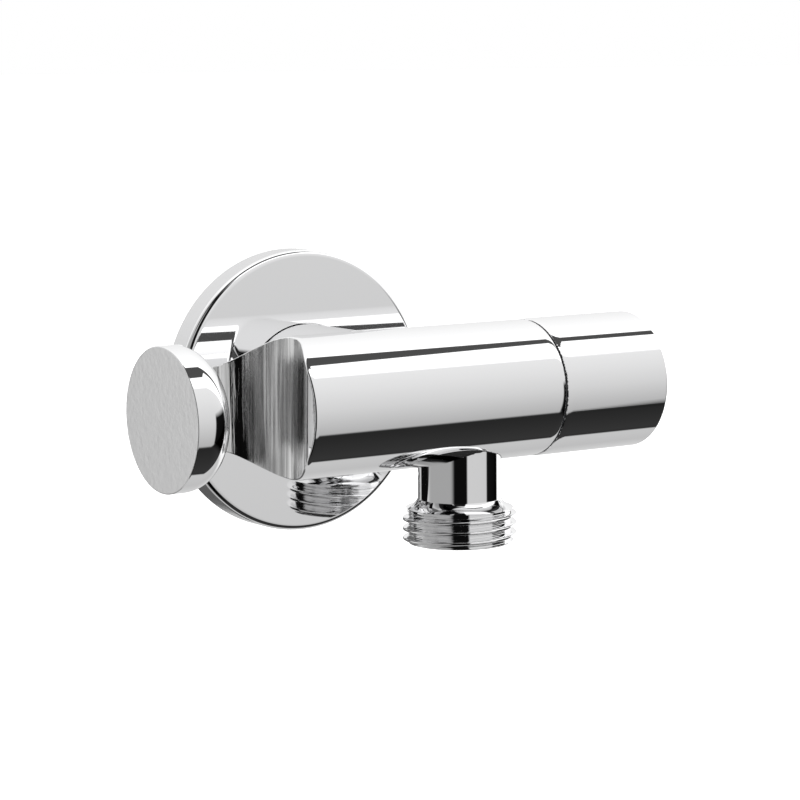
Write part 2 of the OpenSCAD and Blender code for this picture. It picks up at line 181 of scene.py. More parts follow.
def round_cut(a, b, r):
    """Distance to what a and b share, with the edge between them rounded to radius r."""
    return np.minimum(np.maximum(a, b), -r) + np.hypot(np.maximum(a + r, 0), np.maximum(b + r, 0))


def round_join(a, b, r):
    """Distance to a and b together, with the corner between them filled to radius r."""
    return np.maximum(np.minimum(a, b), r) - np.hypot(np.maximum(r - a, 0), np.maximum(r - b, 0))


def between(t, low, high):
    """Distance to the slab from low to high."""
    return np.maximum(low - t, t - high)


# ---------------------------------------------------------------- camera, floor and light

CAMERA_AT = (-0.2661, -0.4344, 0.0613)
CAMERA_AIM = (33.77, 7.10, -0.49)   # degrees: from +Y towards +X, down, and roll
CAMERA_LENS = 123.9
CAMERA_SHIFT = (0.0047, -0.0025)


def add_camera():
    """Long lens to the left of the valve and a little above it."""
    azimuth, elevation, roll = (math.radians(a) for a in CAMERA_AIM)
    forward = Vector((math.sin(azimuth) * math.cos(elevation), math.cos(azimuth) * math.cos(elevation),
                      -math.sin(elevation)))
    data = bpy.data.cameras.new("camera")
    data.lens = CAMERA_LENS
    data.sensor_width = 36
    data.shift_x, data.shift_y = CAMERA_SHIFT
    data.clip_start = 0.01
    camera = bpy.data.objects.new("camera", data)
    turn = forward.to_track_quat("-Z", "Y").to_matrix().to_4x4() @ Matrix.Rotation(roll, 4, "Z")
    camera.matrix_world = Matrix.Translation(Vector(CAMERA_AT)) @ turn
    bpy.context.scene.collection.objects.link(camera)
    bpy.context.scene.camera = camera


def add_floor():
    """A pale floor well below the wall-held valve, kept out of the chrome's reflections."""
    reach, drop = 30.0, 0.15
    corners = [(x * reach, y * reach, -drop) for x, y in ((-1, -1), (1, -1), (1, 1), (-1, 1))]
    mesh = bpy.data.meshes.new("floor")
    mesh.from_pydata(corners, [], [(0, 1, 2, 3)])
    floor = bpy.data.objects.new("floor", mesh)
    bpy.context.scene.collection.objects.link(floor)
    material = bpy.data.materials.new("pale_floor")
    material.use_nodes = True
    shader = material.node_tree.nodes["Principled BSDF"]
    shader.inputs["Base Color"].default_value = (0.9, 0.9, 0.9, 1)
    shader.inputs["Roughness"].default_value = 0.9
    shader.inputs["Emission Color"].default_value = (1, 1, 1, 1)
    shader.inputs["Emission Strength"].default_value = 0.8
    mesh.materials.append(material)
    floor.visible_glossy = False


# Brightness of the studio round the bar's axis: angle from the wall side up over the top, in degrees,
# and screen brightness from 0 to 1, over 1 for a lamp.
STUDIO = [(-180, 0.80), (-141.5, 0.67), (-139, 0.16), (-115, 0.19), (-95, 0.21), (-89.5, 0.18),
          (-88, 0.75), (-60, 0.72), (-30, 0.79), (-9, 0.87), (0, 0.89), (30, 0.93), (60, 0.98),
          (74, 1.05), (86, 1.12), (125, 1.15), (127.5, 0.89), (150, 0.86), (180, 0.80)]

# Share of that light left by the dark cards: azimuth from +X towards +Y in degrees, screen brightness.
LEFT = [(-180, 0.72), (-157, 0.62), (-146, 0.55), (-143, 0.10), (-105, 0.10), (-102, 1), (125, 1),
        (150, 0.8), (180, 0.72)]
BEHIND = [(-180, 1), (66, 1), (74, 0.45), (112, 0.5), (121, 1), (150, 1), (180, 1)]
RIGHT = [(-180, 1), (-46, 1), (-43, 0.12), (-5, 0.10), (1, 1.35), (30, 1.25), (36, 1), (180, 1)]

# Where each card stands: sine of the height, and 0 for none of its shade to 1 for all.
TALL = [(-1, 0), (-0.95, 0), (-0.9, 1), (0.85, 1), (0.95, 0), (1, 0)]
SUNK = [(-1, 0), (-0.95, 0), (-0.9, 1), (0.05, 1), (0.2, 0), (1, 0)]
LOW = [(-1, 0), (-0.56, 0), (-0.46, 1), (0.05, 1), (0.16, 0), (1, 0)]

# A plain grey card closes the tent at the cradle's end.
END_CARD = [(-1, 1), (-0.86, 1), (-0.74, 0), (1, 0)]
END_LIGHT = 0.61

# The dark gap overhead, round the bar's axis in degrees. It ends earlier towards +X.
GAP_START = 87
GAP_ENDS = (112, 97)
GAP_NARROWS = (0.46, 0.60)          # X part of the direction where the one end turns into the other
GAP_LIGHT = 0.26
GAP_EDGE = 60.0                     # sharpness of its edges

TENT_STRENGTH = 1.12
SCREEN_GAMMA = 2.2


def linear(bright):
    """Colour of a grey of the given screen brightness."""
    return (bright ** SCREEN_GAMMA,) * 3 + (1,)


def map_range(nodes, links, value, start, end, to_start=0.0, to_end=1.0):
    """value carried from one range to the other and held inside it."""
    node = nodes.new("ShaderNodeMapRange")
    names = ("From Min", "From Max", "To Min", "To Max")
    for name, number in zip(names, (start, end, to_start, to_end)):
        node.inputs[name].default_value = number
    links.new(value, node.inputs["Value"])
    return node.outputs[0]


def bright_ramp(nodes, links, value, reach, stops):
    """Colour ramp over a value from -reach to reach, from (place, screen brightness) stops."""
    ramp = nodes.new("ShaderNodeValToRGB")
    marks = ramp.color_ramp.elements
    span = stops[-1][0]
    for index, (place, bright) in enumerate(stops):
        at = (place / span + 1) / 2
        mark = marks[index] if index < 2 else marks.new(at)
        mark.position = at
        mark.color = linear(bright)
    links.new(map_range(nodes, links, value, -reach, reach), ramp.inputs[0])
    return ramp.outputs[0]


def math_node(nodes, links, operation, *values):
    """Result of a math node fed by numbers or sockets."""
    node = nodes.new("ShaderNodeMath")
    node.operation = operation
    for socket, value in zip(node.inputs, values):
        if isinstance(value, (int, float)):
            socket.default_value = value
        else:
            links.new(value, socket)
    return node.outputs[0]


def blended(nodes, links, factor, color, other, blend="MULTIPLY"):
    """color blended with other by as much as factor says. other is a colour or a socket."""
    mix = nodes.new("ShaderNodeMix")
    mix.data_type = "RGBA"
    mix.blend_type = blend
    links.new(factor, mix.inputs["Factor"])
    links.new(color, mix.inputs[6])
    if isinstance(other, tuple):
        mix.inputs[7].default_value = other
    else:
        links.new(other, mix.inputs[7])
    return mix.outputs[2]


def dark_gap(nodes, links, east, tilt):
    """1 inside the dark gap overhead, which is wider towards the cradle's side."""
    end = map_range(nodes, links, east, *GAP_NARROWS, *(math.radians(a) for a in GAP_ENDS))
    after = math_node(nodes, links, "SUBTRACT", tilt, math.radians(GAP_START))
    before = math_node(nodes, links, "SUBTRACT", end, tilt)
    nearest = math_node(nodes, links, "MINIMUM", after, before)
    sharp = math_node(nodes, links, "MULTIPLY", nearest, GAP_EDGE)
    return math_node(nodes, links, "MAXIMUM", math_node(nodes, links, "MINIMUM", sharp, 1.0), 0.0)


def add_studio():
    """World light: a white tent with a thin dark gap overhead, a wide dark band below in front, dark
    cards round it and a grey card at one end. The camera itself sees plain white."""
    world = bpy.data.worlds.new("studio")
    bpy.context.scene.world = world
    world.use_nodes = True
    nodes, links = world.node_tree.nodes, world.node_tree.links
    nodes.clear()
    split = nodes.new("ShaderNodeSeparateXYZ")
    links.new(nodes.new("ShaderNodeTexCoord").outputs["Generated"], split.inputs[0])
    east, north, up = split.outputs
    tilt = math_node(nodes, links, "ARCTAN2", up, north)
    azimuth = math_node(nodes, links, "ARCTAN2", north, east)
    light = bright_ramp(nodes, links, tilt, math.pi, STUDIO)
    gap = dark_gap(nodes, links, east, tilt)
    light = blended(nodes, links, gap, light, linear(GAP_LIGHT))
    for around, by_height in ((LEFT, TALL), (BEHIND, SUNK), (RIGHT, LOW)):
        share = bright_ramp(nodes, links, azimuth, math.pi, around)
        light = blended(nodes, links, bright_ramp(nodes, links, up, 1.0, by_height), light, share)
    at_end = bright_ramp(nodes, links, east, 1.0, END_CARD)
    light = blended(nodes, links, at_end, light, linear(END_LIGHT), "MIX")
    tent = nodes.new("ShaderNodeBackground")
    tent.inputs["Strength"].default_value = TENT_STRENGTH
    backdrop = nodes.new("ShaderNodeBackground")
    backdrop.inputs["Color"].default_value = (1, 1, 1, 1)
    path = nodes.new("ShaderNodeLightPath")
    mix = nodes.new("ShaderNodeMixShader")
    output = nodes.new("ShaderNodeOutputWorld")
    links.new(light, tent.inputs["Color"])
    links.new(path.outputs["Is Camera Ray"], mix.inputs[0])
    links.new(tent.outputs[0], mix.inputs[1])
    links.new(backdrop.outputs[0], mix.inputs[2])
    links.new(mix.outputs[0], output.inputs["Surface"])
    bpy.context.scene.view_settings.view_transform = "Standard"


# ---------------------------------------------------------------- materials

def new_material(name, color, metallic, roughness):
    """A material and its shader, with the values that hold where no noise changes them."""
    material = bpy.data.materials.new(name)
    material.use_nodes = True
    shader = material.node_tree.nodes["Principled BSDF"]
    shader.inputs["Base Color"].default_value = (*color, 1)
    shader.inputs["Metallic"].default_value = metallic
    shader.inputs["Roughness"].default_value = roughness
    return material, shader


def add_noise(material, scale, stretch=(1, 1, 1), detail=3.0):
    """Noise in object space, at scale cells a metre, stretched along the axes."""
    nodes, links = material.node_tree.nodes, material.node_tree.links
    place = nodes.new("ShaderNodeTexCoord")
    mapping = nodes.new("ShaderNodeMapping")
    mapping.inputs["Scale"].default_value = stretch
    noise = nodes.new("ShaderNodeTexNoise")
    noise.inputs["Scale"].default_value = scale
    noise.inputs["Detail"].default_value = detail
    links.new(place.outputs["Object"], mapping.inputs["Vector"])
    links.new(mapping.outputs["Vector"], noise.inputs["Vector"])
    return noise


def vary(material, shader, socket, noise, low, high):
    """Lets the noise move a shader value between low and high."""
    nodes, links = material.node_tree.nodes, material.node_tree.links
    value = map_range(nodes, links, noise.outputs["Fac"], 0.0, 1.0, low, high)
    links.new(value, shader.inputs[socket])


def tint(material, shader, noise, dark, light):
    """Lets the noise move the base colour between dark and light."""
    nodes, links = material.node_tree.nodes, material.node_tree.links
    ramp = nodes.new("ShaderNodeValToRGB")
    for mark, color, position in zip(ramp.color_ramp.elements, (dark, light), (0.3, 0.7)):
        mark.color = (*color, 1)
        mark.position = position
    links.new(noise.outputs["Fac"], ramp.inputs[0])
    links.new(ramp.outputs[0], shader.inputs["Base Color"])


def rough_up(material, shader, noise, height):
    """Fine relief of the given height in millimetres."""
    nodes, links = material.node_tree.nodes, material.node_tree.links
    bump = nodes.new("ShaderNodeBump")
    bump.inputs["Distance"].default_value = height * MM
    bump.inputs["Strength"].default_value = 1.0
    links.new(noise.outputs["Fac"], bump.inputs["Height"])
    links.new(bump.outputs[0], shader.inputs["Normal"])


def polished_chrome():
    """Mirror chrome with a trace of haze."""
    material, shader = new_material("polished_chrome", (0.935, 0.935, 0.94), 1.0, 0.03)
    haze = add_noise(material, 60.0)
    vary(material, shader, "Roughness", haze, 0.015, 0.05)
    return material


DULLER_X = (-0.0195, -0.0175)       # where the socket's finish grows duller, towards the right jaw
DULLER_BY = 0.15


def socket_chrome():
    """Cast and plated without much polishing: upright streaks, duller towards the right jaw."""
    material, shader = new_material("socket_chrome", (0.9, 0.9, 0.9), 1.0, 0.12)
    nodes, links = material.node_tree.nodes, material.node_tree.links
    grain = add_noise(material, 700.0, stretch=(1, 1, 0.035), detail=6.0)
    vary(material, shader, "Roughness", grain, 0.02, 0.10)
    place = nodes.new("ShaderNodeSeparateXYZ")
    links.new(nodes.new("ShaderNodeTexCoord").outputs["Object"], place.inputs[0])
    duller = map_range(nodes, links, place.outputs["X"], *DULLER_X, 0.0, DULLER_BY)
    even = shader.inputs["Roughness"].links[0].from_socket
    links.new(math_node(nodes, links, "ADD", even, duller), shader.inputs["Roughness"])
    rough_up(material, shader, grain, 0.12)
    streaks = add_noise(material, 1500.0, stretch=(1, 1, 0.02))
    tint(material, shader, streaks, (0.52,) * 3, (1.0,) * 3)
    return material


def satin_chrome():
    """Fine blasted face of the disc end."""
    material, shader = new_material("satin_chrome", (0.97, 0.97, 0.97), 1.0, 0.34)
    grain = add_noise(material, 1000.0)
    vary(material, shader, "Roughness", grain, 0.28, 0.42)
    rough_up(material, shader, grain, 0.045)
    return material


def brushed_chrome():
    """Rim of the flange: lightly brushed."""
    material, shader = new_material("brushed_chrome", (0.74, 0.74, 0.745), 1.0, 0.25)
    grain = add_noise(material, 1500.0, stretch=(1, 0.15, 1))
    vary(material, shader, "Roughness", grain, 0.16, 0.3)
    rough_up(material, shader, grain, 0.03)
    return material


def turned_brass():
    """Bare turned brass with fine mottling."""
    material, shader = new_material("turned_brass", (0.78, 0.60, 0.30), 1.0, 0.28)
    grain = add_noise(material, 900.0)
    vary(material, shader, "Roughness", grain, 0.2, 0.36)
    tint(material, shader, grain, (0.70, 0.52, 0.24), (0.84, 0.66, 0.36))
    return material


def stainless_steel():
    """Bright drawn steel."""
    material, shader = new_material("stainless_steel", (0.62, 0.62, 0.63), 1.0, 0.3)
    grain = add_noise(material, 1100.0)
    vary(material, shader, "Roughness", grain, 0.22, 0.4)
    tint(material, shader, grain, (0.52, 0.52, 0.53), (0.68, 0.68, 0.69))
    return material


def soft_material(name, dark, light, rough_low, rough_high, height):
    """A moulded or sintered material with a little mottling and relief."""
    material, shader = new_material(name, light, 0.0, rough_high)
    grain = add_noise(material, 1400.0)
    vary(material, shader, "Roughness", grain, rough_low, rough_high)
    tint(material, shader, grain, dark, light)
    rough_up(material, shader, grain, height)
    return material


# Moulded and sintered finishes: dark and light colour, roughness low and high, relief in millimetres.
SOFT_FINISHES = {
    "black_rubber": ((0.012,) * 3, (0.03,) * 3, 0.5, 0.7, 0.01),
    "white_plastic": ((0.80, 0.80, 0.77), (0.88, 0.88, 0.86), 0.3, 0.45, 0.004),
    "dark_plastic": ((0.02, 0.02, 0.022), (0.04, 0.04, 0.045), 0.3, 0.45, 0.004),
    "disc_ceramic": ((0.84, 0.80, 0.74), (0.92, 0.88, 0.82), 0.08, 0.16, 0.002),
}

MATERIALS = {finish.__name__: finish() for finish in (polished_chrome, turned_brass, stainless_steel)}
MATERIALS.update({name: soft_material(name, *values) for name, values in SOFT_FINISHES.items()})


def dress_cad_nodes():
    """Gives every CAD node the finish of its slot."""
    for part in frame["record"]["subparts"]:
        mesh = frame["nodes"][part["node"]].data
        mesh.materials.clear()
        mesh.materials.append(MATERIALS[part["material_slot"]])


# ---------------------------------------------------------------- the cradle and the barrel

GRID = 0.25                         # spacing of the grid that the skins are made on
FINE = 0.05                         # its spacing along the bar at small edges
PAST_JOINT = 0.8                    # a skin runs this far past the cradle's joint, then is cut there

DISC_EDGE = 0.2
DISC_SIDE = cradle_low[0] + 2.6     # where the disc's straight side ends
DISC_FILLET = 6.0
JAW_X = -18.3
JAW_LEAD = 2.2                      # rounding between the socket and the jaw's front
EDGE = 0.35
SOFT = 2.5                          # polished edges run this much further along the bar than into it
SOCKET_R = 10.4
SOCKET_TAPER = math.radians(1.5)
SPIGOT_R = 6.0
JOINT_X = body_low[0]               # cradle and barrel meet here, flush

SEAM_EDGE = 0.16                    # rounding at the seam between barrel and handle
SEAM_SOFT = 9.0                     # and how much further it runs along the bar
BODY_NECK_R = 12.4
BODY_NECK_FILLET = 0.4
BARREL_BORES = ((6.05, -30, -8.35), (6.5, -6.7, 10), (7.6, 9.5, 28), (8.4, 27.6, 35),
                (9.95, 34.1, 40))   # radius, start and end along the bar
INLET_BORES = ((6.0, BAR_Y), (8.4, -12.55))                     # radius and inner end
OUTLET_BORES = ((7.7, -15, -9), (4.8, -15, -4))                 # radius, lower and upper end

HANDLE_EDGE = 0.3
HANDLE_WALL = 1.6
HANDLE_END = 1.8                    # thickness of the closed end
BOSS_R = 9.9
BOSS_X = 43.2
INSERT_R, INSERT_FLAT, INSERT_END = 8.05, 7.05, 52.45           # seat of the insert
SCREW_R = 3.9
GRUB_X, GRUB_R = 48, 2.05
GRUB_EDGE = 0.1


def bar_distance(x, y, z):
    """Distance to the endless round bar."""
    return np.hypot(y - BAR_Y, z) - BAR_R


def cradle_distance(x, y, z):
    """Disc end, back half behind the socket, and right jaw."""
    bar = bar_distance(x, y, z)
    reach = np.hypot(x - SOCKET[0], y - SOCKET[1])
    hole = (SOCKET_R + z * math.tan(SOCKET_TAPER) - reach) * math.cos(SOCKET_TAPER)
    disc = round_cut(bar, cradle_low[0] - x, DISC_EDGE)
    disc = round_cut(disc, x - DISC_SIDE - DISC_FILLET, DISC_FILLET)
    back = round_cut(bar, round_cut(BAR_Y - y, hole, EDGE) / SOFT, EDGE)
    jaw = round_cut(bar, round_cut(JAW_X - x, hole, JAW_LEAD) / SOFT, EDGE)
    behind = np.maximum(back, DISC_SIDE - 1 - x)
    return np.minimum(np.minimum(round_cut(disc, hole, EDGE), behind), jaw)


def rod(radius, across_a, across_b, along, low, high):
    """Distance to a round rod or bore."""
    return np.maximum(np.hypot(across_a, across_b) - radius, between(along, low, high))


def body_distance(x, y, z):
    """Barrel with its neck to the wall, less the inner bores."""
    bar = round_cut(bar_distance(x, y, z), (x - body_high[0]) / SEAM_SOFT, SEAM_EDGE)
    neck = np.maximum(np.hypot(x, z) - BODY_NECK_R, between(y, BAR_Y, body_high[1]))
    solid = round_join(bar, neck, BODY_NECK_FILLET)
    side = y - BAR_Y
    for radius, low, high in BARREL_BORES:
        solid = np.maximum(solid, -rod(radius, side, z, x, low, high))
    for radius, low in INLET_BORES:
        solid = np.maximum(solid, -rod(radius, x, z, y, low, 0))
    for radius, low, high in OUTLET_BORES:
        solid = np.maximum(solid, -rod(radius, x - OUTLET[0], side, z, low, high))
    return solid


SPIGOT_SIDES = 96


def cut_flush(thing, x, keep_right, spigot=None):
    """Cuts a skin flat at x and closes the cut. A spigot, as (radius, end), stands on the cut."""
    graph = bmesh.new()
    graph.from_mesh(thing.data)
    side = 1 if keep_right else -1
    every = graph.verts[:] + graph.edges[:] + graph.faces[:]
    sliced = bmesh.ops.bisect_plane(graph, geom=every, plane_co=(x * MM, 0, 0), plane_no=(-side, 0, 0),
                                    clear_outer=True, dist=1e-7)
    rim = [e for e in sliced["geom_cut"] if isinstance(e, bmesh.types.BMEdge)]
    if spigot:
        radius, end = spigot
        turns = [2 * math.pi * k / SPIGOT_SIDES for k in range(SPIGOT_SIDES)]
        ring = [(BAR_Y + radius * math.cos(turn), radius * math.sin(turn)) for turn in turns]
        root, tip = ([graph.verts.new((at * MM, y * MM, z * MM)) for y, z in ring] for at in (x, end))
        steps = list(zip(root, root[1:] + root[:1], tip[1:] + tip[:1], tip))
        loop = [graph.edges.new(step[:2]) for step in steps]
        bmesh.ops.triangle_fill(graph, edges=rim + loop, use_beauty=True)
        for step in steps:
            graph.faces.new(step)
        graph.faces.new(tip)
    else:
        bmesh.ops.triangle_fill(graph, edges=rim, use_beauty=True)
    bmesh.ops.recalc_face_normals(graph, faces=graph.faces)
    graph.to_mesh(thing.data)
    graph.free()


def read_array(source, name, width, kind=float):
    """One value row for each item of a mesh collection."""
    flat = np.empty(len(source) * width, kind)
    source.foreach_get(name, flat)
    return flat.reshape(-1, width) if width > 1 else flat


def shade(thing, distance, reach=0.08):
    """Exact normals from the distance field on the skin, and flat ones on sharp edges and cuts.

    Returns the faces' centres in millimetres."""
    mesh = thing.data
    slope = slope_of(read_array(mesh.vertices, "co", 3) / MM, distance)
    centre = read_array(mesh.polygons, "center", 3) / MM
    flat = read_array(mesh.polygons, "normal", 3)
    agree = (slope_of(centre, distance) * flat).sum(axis=1) > 0.6
    by_joint = np.abs(centre[:, 0] - JOINT_X) < 0.4
    on_skin = (np.abs(distance(*centre.T)) < reach) & (agree | by_joint)
    corner = read_array(mesh.loops, "vertex_index", 1, int)
    sides = read_array(mesh.polygons, "loop_total", 1, int)
    face = np.repeat(np.arange(len(mesh.polygons)), sides)
    normals = np.where(on_skin[face][:, None], slope[corner], flat[face])
    mesh.polygons.foreach_set("use_smooth", [True] * len(mesh.polygons))
    mesh.normals_split_custom_set(normals.tolist())
    return centre


def finish_piece(thing, body, slot, *cad_nodes):
    """Puts a piece on its body in place of CAD nodes, in its slot's finish unless it has its own."""
    if not thing.data.materials:
        thing.data.materials.append(MATERIALS[slot])
    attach(thing, body)
    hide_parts(*cad_nodes)


def set_faces(thing, materials, index):
    """Gives the piece several finishes, with an index for each face."""
    for material in materials:
        thing.data.materials.append(material)
    thing.data.polygons.foreach_set("material_index", index.astype(int).tolist())


def across(low, high, step):
    """Grid lines along Y and Z round a node."""
    return [ticks((low[k] - 1, high[k] + 1, step)) for k in (1, 2)]


def make_cradle():
    """Cradle up to the joint, with the spigot that goes into the barrel."""
    def longer(x, y, z):
        return np.maximum(cradle_distance(x, y, z), x - JOINT_X - PAST_JOINT)

    step = GRID * 0.8
    left = cradle_low[0]
    along = ticks((left - 0.3, left + 0.3, FINE), (left + 0.3, JOINT_X + 1.5, step))
    points, faces = skin(longer, along, *across(cradle_low, cradle_high, step))
    cradle = make_object("shower_cradle_finished", points, faces.tolist())
    cut_flush(cradle, JOINT_X, False, (SPIGOT_R, cradle_high[0]))
    centre = shade(cradle, cradle_distance)
    in_socket = np.hypot(centre[:, 0] - SOCKET[0], centre[:, 1] - SOCKET[1]) < \
        SOCKET_R + 0.05 + centre[:, 2] * math.tan(SOCKET_TAPER)
    on_disc = centre[:, 0] < cradle_low[0] + 0.05
    set_faces(cradle, [MATERIALS["polished_chrome"], socket_chrome(), satin_chrome()],
              np.where(on_disc, 2, np.where(in_socket, 1, 0)))
    finish_piece(cradle, "valve", "polished_chrome", "shower_cradle")


def make_body():
    """Barrel and neck from the joint to the seam."""
    def longer(x, y, z):
        return np.maximum(body_distance(x, y, z), JOINT_X - PAST_JOINT - x)

    right = body_high[0]
    along = ticks((JOINT_X - 1.5, right - 1.5, GRID), (right - 1.5, right + 0.2, FINE))
    points, faces = skin(longer, along, *across(body_low, body_high, GRID))
    body = make_object("valve_body_finished", points, faces.tolist())
    cut_flush(body, JOINT_X, True)
    shade(body, body_distance)
    finish_piece(body, "valve", "polished_chrome", "valve_body")


def handle_distance(x, y, z):
    """Hollow handle with the boss that holds the insert and the grub screw's hole."""
    side = y - BAR_Y
    around = np.hypot(side, z)
    shell = round_cut(around - HANDLE_R, (handle_low[0] - x) / SEAM_SOFT, SEAM_EDGE)
    shell = round_cut(shell, x - handle_high[0], HANDLE_EDGE)
    back = handle_high[0] - HANDLE_END
    cavity = np.maximum(around - (HANDLE_R - HANDLE_WALL), x - back)
    boss = np.maximum(around - BOSS_R, between(x, BOSS_X, back + 0.5))
    solid = np.minimum(np.maximum(shell, -cavity), boss)
    seat = np.maximum(np.maximum(around - INSERT_R, np.abs(z) - INSERT_FLAT), x - INSERT_END)
    solid = np.maximum(solid, -np.minimum(seat, np.maximum(around - SCREW_R, x - back)))
    grub = np.maximum(np.hypot(x - GRUB_X, side) - GRUB_R, z + 1)
    return round_cut(solid, -grub, GRUB_EDGE)


def make_handle():
    """Handle from the seam to its closed end."""
    left, right = handle_low[0], handle_high[0]
    along = ticks((left - 0.2, left + 1.5, FINE), (left + 1.5, right - 0.5, GRID),
                  (right - 0.5, right + 0.2, 0.07))
    points, faces = skin(handle_distance, along, *across(handle_low, handle_high, GRID))
    handle = make_object("handle_finished", points, faces.tolist())
    shade(handle, handle_distance)
    finish_piece(handle, "handle", "polished_chrome", "handle_shell")


# ---------------------------------------------------------------- turned pieces

def round_corners(corners, steps=5):
    """A closed outline from corners (radius out, place along, rounding), with its outward normals."""
    spots = np.array([c[:2] for c in corners], float)
    outline, normals = [], []
    for index, (out, along, rounding) in enumerate(corners):
        before = spots[index] - spots[index - 1]
        after = spots[(index + 1) % len(spots)] - spots[index]
        a0 = math.atan2(before[1], before[0])
        turn = (math.atan2(after[1], after[0]) - a0 + math.pi) % (2 * math.pi) - math.pi
        if rounding == 0:
            outline.append((out, along))
            normals.append((math.sin(a0 + turn / 2), -math.cos(a0 + turn / 2)))
            continue
        trim = rounding * math.tan(abs(turn) / 2)
        start = spots[index] - trim * np.array([math.cos(a0), math.sin(a0)])
        hand = math.copysign(1, turn)
        centre = start + hand * rounding * np.array([-math.sin(a0), math.cos(a0)])
        for k in range(steps + 1):
            angle = a0 + turn * k / steps
            normal = np.array([math.sin(angle), -math.cos(angle)])
            outline.append(tuple(centre + hand * rounding * normal))
            normals.append(tuple(normal))
    return np.array(outline), np.array(normals)


def turned(name, outline, normals, to_frame, segments, shape=None):
    """Turns a closed outline about its axis; to_frame puts (out, angle, along) points into the frame.

    shape(angle, along, out) may change the radius, as for a screw thread."""
    angle = np.arange(segments) * 2 * math.pi / segments
    out = np.repeat(outline[:, :1], segments, axis=1)
    along = np.repeat(outline[:, 1:], segments, axis=1)
    around = np.repeat(angle[None, :], len(outline), axis=0)
    spin = np.repeat(normals[:, None, :], segments, axis=1)
    if shape is not None:
        radius = shape(around, along, out)
        moved = radius != out
        slope_along = np.gradient(radius, axis=0) / (np.gradient(along, axis=0) + 1e-9)
        slope_around = (np.roll(radius, -1, 1) - np.roll(radius, 1, 1)) / (2 * angle[1]) / radius
        out = radius
    points = to_frame(out, around, along).reshape(-1, 3)
    on_axis = to_frame(0 * out, around, 0 * along)
    face_out = to_frame(spin[..., 0], around, spin[..., 1]) - on_axis
    if shape is not None:
        lean = to_frame(np.ones_like(out), around, -slope_along) - on_axis
        aside = to_frame(slope_around, around + math.pi / 2, 0 * along) - on_axis
        face_out = np.where(moved[..., None], lean - aside, face_out)
    face_out = face_out.reshape(-1, 3)
    face_out /= np.linalg.norm(face_out, axis=1)[:, None]
    count = len(outline)
    i, j = np.meshgrid(np.arange(count), np.arange(segments), indexing="ij")
    i2, j2 = (i + 1) % count, (j + 1) % segments
    faces = np.stack([i * segments + j, i * segments + j2, i2 * segments + j2, i2 * segments + j], -1)
    return make_object(name, points, faces.reshape(-1, 4).tolist(), face_out)


def down_axis(out, angle, along):
    """Turned about the outlet's axis."""
    return np.stack([OUTLET[0] + out * np.cos(angle), OUTLET[1] + out * np.sin(angle), along], -1)


def wall_axis(out, angle, along):
    """Turned about the inlet's axis."""
    return np.stack([out * np.cos(angle), along, -out * np.sin(angle)], -1)


PITCH = 1.814
THREAD_DEPTH = 1.162
THREAD_FULLNESS = 1.5               # how far crests and roots are flattened from a plain wave
RUNOUT = 0.45                       # the groove at the shoulder is full this far each way, then fades
CHAMFER = 0.8
THREAD_STEP = 0.06                  # spacing of the outline's points along a thread
TIP_R = 9.35
SEGMENTS = 256                      # round the outlet and the flange


def thread_shape(start, low, high, runout, phase):
    """Radius of a rounded right-hand thread between low and high along the axis.

    Round runout, where the thread meets its shoulder, the groove goes all the way round."""
    def shape(angle, along, out):
        turns = (along - start) / PITCH - (angle - phase) / (2 * math.pi)
        wave = np.tanh(THREAD_FULLNESS * np.cos(2 * math.pi * turns)) / math.tanh(THREAD_FULLNESS)
        undercut = np.clip(2 - np.abs(along - runout) / RUNOUT, 0, 1)
        depth = THREAD_DEPTH * np.maximum(0.5 - 0.5 * wave, undercut)
        zone = (along > low) & (along < high) & (out > THREAD_R - THREAD_DEPTH - 0.3)
        return np.where(zone, np.minimum(out, THREAD_R - depth), out)
    return shape


def threaded_side(shoulder, tip):
    """Outline points of a threaded stretch with a chamfered tip, from the tip to the shoulder."""
    away = math.copysign(1, shoulder - tip)
    places = np.arange(CHAMFER + THREAD_STEP, abs(shoulder - tip) - THREAD_STEP / 2, THREAD_STEP)
    chamfer = [(TIP_R + (THREAD_R - TIP_R) * t, tip + away * CHAMFER * t, 0)
               for t in np.linspace(0.1, 0.95, 10)]
    return chamfer + [(THREAD_R, tip + away * d, 0) for d in places]


def bulge(start, end, radius, steps=12):
    """Points of an arc of the given radius from start to end, bulging to the left of the way."""
    start, end = np.array(start), np.array(end)
    chord = end - start
    half = math.asin(np.linalg.norm(chord) / 2 / radius)
    aside = np.array([-chord[1], chord[0]]) / np.linalg.norm(chord)
    centre = (start + end) / 2 - aside * radius * math.cos(half)
    base = math.atan2(aside[1], aside[0])
    turns = np.linspace(half, -half, steps)
    return [tuple(centre + radius * np.array([math.cos(base + t), math.sin(base + t)])) for t in turns]


NECK_R = 7.65
WAY_R = 4.8
MOUTH_R = 7.5
SHOULDER_R = 9.85
SHOULDER_ARC = 3.2
THREAD_TURN = math.radians(-124)    # where the outlet's thread starts


